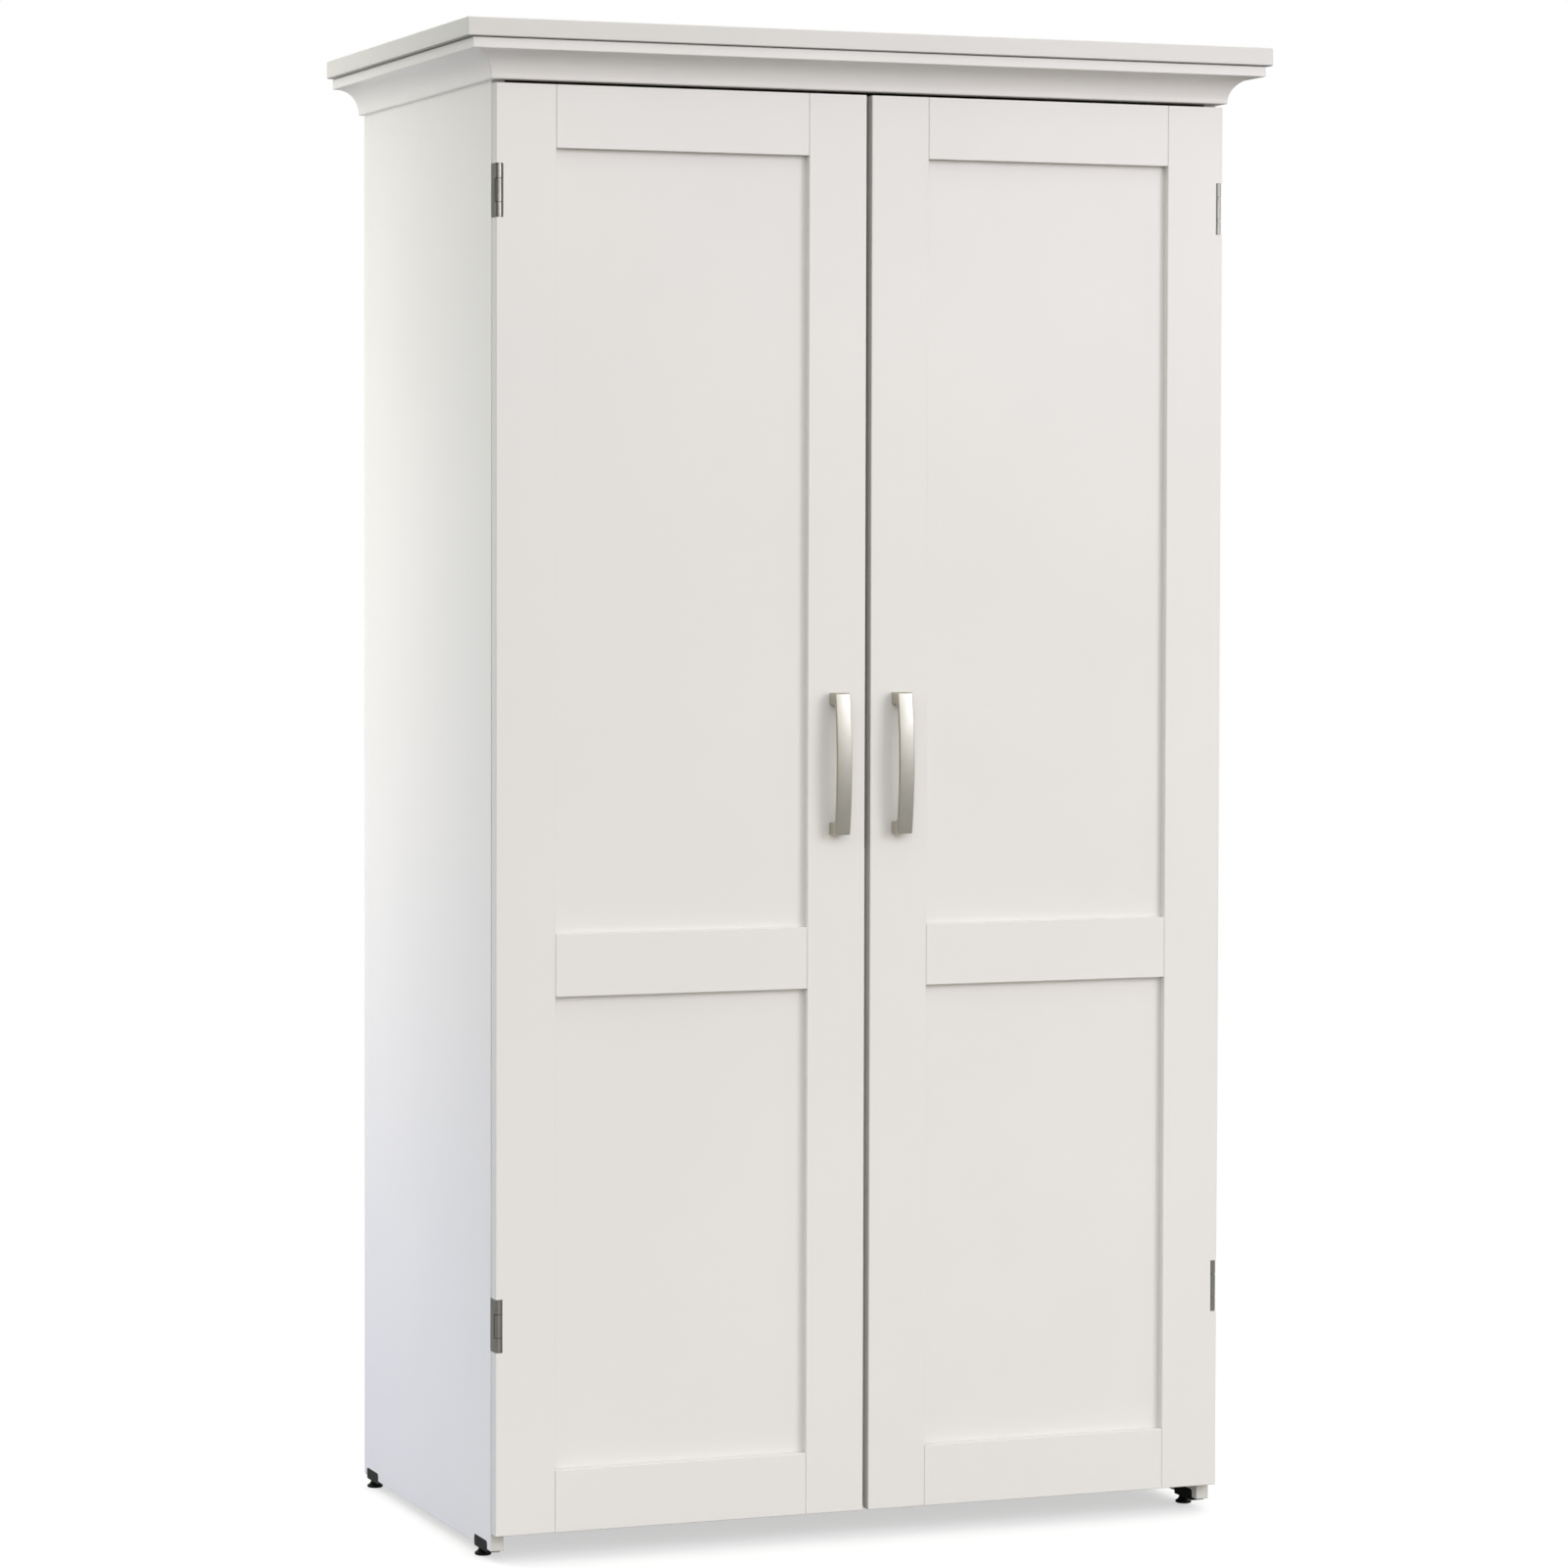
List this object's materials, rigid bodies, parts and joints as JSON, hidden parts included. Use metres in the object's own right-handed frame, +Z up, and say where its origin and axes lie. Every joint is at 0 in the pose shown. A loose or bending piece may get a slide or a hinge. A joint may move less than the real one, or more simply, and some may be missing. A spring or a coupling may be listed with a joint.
{
  "type": "pantry cabinet",
  "caption": "Tall two-door pantry cabinet with a moulded cornice, framed panel doors, arched strap handles, shelves inside and levelling feet.",
  "frame": {"origin": "on the floor, under the middle of the cornice top", "axes": "+Z up; +X to the right seen from the front; the doors face -Y"},
  "size_m": [1.015, 0.546, 1.764],
  "materials": {
    "laminate": "warm white melamine laminate on particle board, satin",
    "inner_laminate": "white melamine laminate, satin",
    "hardboard": "thin printed hardboard, matt",
    "satin_nickel": "satin nickel plate",
    "hinge_nickel": "dull nickel plate",
    "black_plastic": "moulded, matt",
    "brown_plastic": "moulded, matt",
    "zinc_plate": "bright zinc plate"
  },
  "bodies": {
    "carcass": {"side_panel_left": "laminate", "side_panel_right": "laminate", "cornice_top": "laminate", "crown_front": "laminate", "crown_left": "laminate", "crown_right": "laminate", "top_rail": "laminate", "bottom_panel": "inner_laminate", "fixed_shelf": "inner_laminate", "centre_partition": "inner_laminate", "back_panel_upper": "hardboard", "back_panel_lower": "hardboard", "upper_shelf_1": "inner_laminate", "upper_shelf_2": "inner_laminate", "lower_shelf_left": "inner_laminate", "lower_shelf_right": "inner_laminate", "magnetic_catch": "brown_plastic", "shelf_pin_1_left_front": "zinc_plate", "shelf_pin_1_left_back": "zinc_plate", "shelf_pin_1_right_front": "zinc_plate", "shelf_pin_1_right_back": "zinc_plate", "shelf_pin_2_left_front": "zinc_plate", "shelf_pin_2_left_back": "zinc_plate", "shelf_pin_2_right_front": "zinc_plate", "shelf_pin_2_right_back": "zinc_plate", "frame_hinge_leaf_left_top": "hinge_nickel", "frame_hinge_leaf_left_bottom": "hinge_nickel", "frame_hinge_leaf_right_top": "hinge_nickel", "frame_hinge_leaf_right_bottom": "hinge_nickel", "leveller_housing_left_front": "black_plastic", "leveller_housing_left_back": "black_plastic", "leveller_housing_right_front": "black_plastic", "leveller_housing_right_back": "black_plastic"},
    "door_left": {"door_left_outer_stile": "laminate", "door_left_inner_stile": "laminate", "door_left_top_rail": "laminate", "door_left_middle_rail": "laminate", "door_left_bottom_rail": "laminate", "door_left_upper_panel": "laminate", "door_left_lower_panel": "laminate", "door_left_handle": "satin_nickel", "door_left_strike_plate": "zinc_plate", "door_left_hinge_leaf_top": "hinge_nickel", "door_left_hinge_leaf_bottom": "hinge_nickel"},
    "door_right": {"door_right_outer_stile": "laminate", "door_right_inner_stile": "laminate", "door_right_top_rail": "laminate", "door_right_middle_rail": "laminate", "door_right_bottom_rail": "laminate", "door_right_upper_panel": "laminate", "door_right_lower_panel": "laminate", "door_right_handle": "satin_nickel", "door_right_strike_plate": "zinc_plate", "door_right_hinge_leaf_top": "hinge_nickel", "door_right_hinge_leaf_bottom": "hinge_nickel"},
    "foot_left_front": {"leveller_foot_left_front": "black_plastic"},
    "foot_left_back": {"leveller_foot_left_back": "black_plastic"},
    "foot_right_front": {"leveller_foot_right_front": "black_plastic"},
    "foot_right_back": {"leveller_foot_right_back": "black_plastic"}
  },
  "joints": [
    {"name": "door_left_hinge", "type": "hinge", "parent": "carcass", "child": "door_left", "pos_m": [-0.4562, -0.2306, 0.0342], "axis": [0, 0, -1], "range_deg": [0, 175]},
    {"name": "door_right_hinge", "type": "hinge", "parent": "carcass", "child": "door_right", "pos_m": [0.4562, -0.2306, 0.0342], "axis": [0, 0, 1], "range_deg": [0, 175]},
    {"name": "leveller_left_front", "type": "slide", "parent": "carcass", "child": "foot_left_front", "axis": [0, 0, -1], "range_m": [0, 0.01]},
    {"name": "leveller_left_back", "type": "slide", "parent": "carcass", "child": "foot_left_back", "axis": [0, 0, -1], "range_m": [0, 0.01]},
    {"name": "leveller_right_front", "type": "slide", "parent": "carcass", "child": "foot_right_front", "axis": [0, 0, -1], "range_m": [0, 0.01]},
    {"name": "leveller_right_back", "type": "slide", "parent": "carcass", "child": "foot_right_back", "axis": [0, 0, -1], "range_m": [0, 0.01]}
  ]
}
